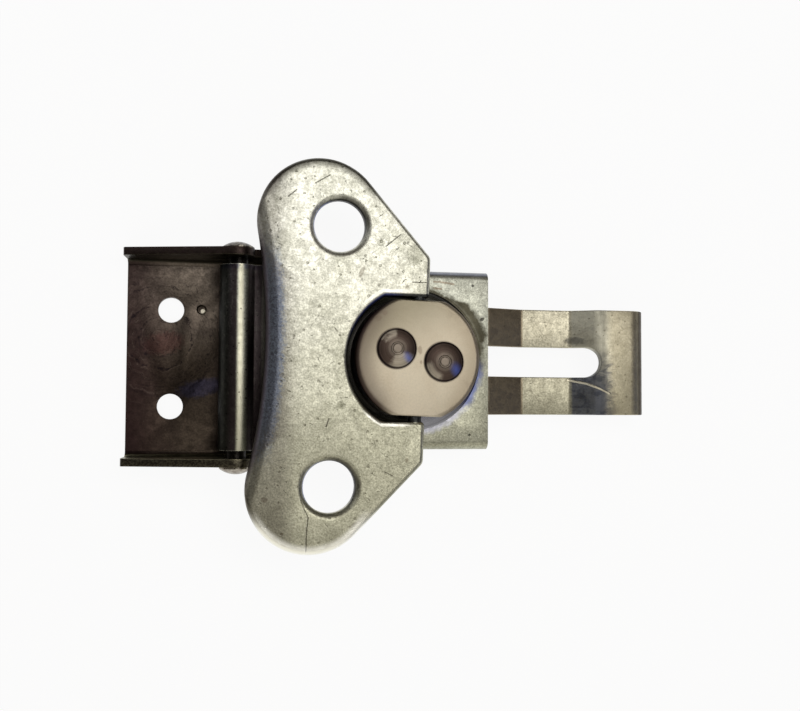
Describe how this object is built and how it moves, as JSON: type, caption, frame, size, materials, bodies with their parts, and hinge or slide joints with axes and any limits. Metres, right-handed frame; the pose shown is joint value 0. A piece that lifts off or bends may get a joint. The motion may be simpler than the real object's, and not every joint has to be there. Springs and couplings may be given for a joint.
{
  "type": "case latch",
  "caption": "Rotary draw latch for a carrying case: a folding wing handle turns a cam that draws a slotted hook towards the hinged base.",
  "frame": {"origin": "midway between the two mounting holes, on the mounting face of the base bracket", "axes": "+X along the latch from the base bracket to the hook, +Y along the hinge pin, +Z away from the case"},
  "size_m": [0.1067, 0.0746, 0.0189],
  "materials": {
    "bracket_steel": "worn zinc plate, swirl marks from wear",
    "pin_steel": "zinc plate, riveted heads",
    "zinc_plate": "mottled zinc plate with small pits",
    "washer_steel": "zinc plate",
    "hub_steel": "fine satin",
    "rivet_steel": "spun by the riveting tool",
    "hook_steel": "bright zinc plate"
  },
  "bodies": {
    "base": {"base_bracket": "bracket_steel", "hinge_pin": "pin_steel"},
    "body": {"latch_body": "zinc_plate", "spring_washer": "washer_steel"},
    "rotor": {"hub_base": "hub_steel", "hub_cap": "hub_steel", "draw_cam": "washer_steel", "cam_retainer": "washer_steel", "hub_rivet_left": "rivet_steel", "hub_rivet_right": "rivet_steel"},
    "handle": {"wing_handle": "zinc_plate"},
    "hook": {"draw_hook": "hook_steel"}
  },
  "joints": [
    {"name": "body_swing", "type": "hinge", "parent": "base", "child": "body", "pos_m": [0.0126, 0, 0.0086], "axis": [0, -1, 0], "range_deg": [0, 60]},
    {"name": "rotor_turn", "type": "hinge", "parent": "body", "child": "rotor", "pos_m": [0.0464, 0, 0.0104], "axis": [0, 0, 1], "range_deg": [0, 180]},
    {"name": "handle_fold", "type": "hinge", "parent": "rotor", "child": "handle", "pos_m": [0.0464, 0, 0.0162], "axis": [0.0349, 0.9994, 0], "range_deg": [0, 180]},
    {"name": "hook_slide", "type": "slide", "parent": "body", "child": "hook", "axis": [1, 0, 0], "range_m": [0, 0.005]}
  ],
  "couplings": [
    {"joint": "hook_slide", "follows": "rotor_turn", "m_per_rad": 0.0015915}
  ]
}
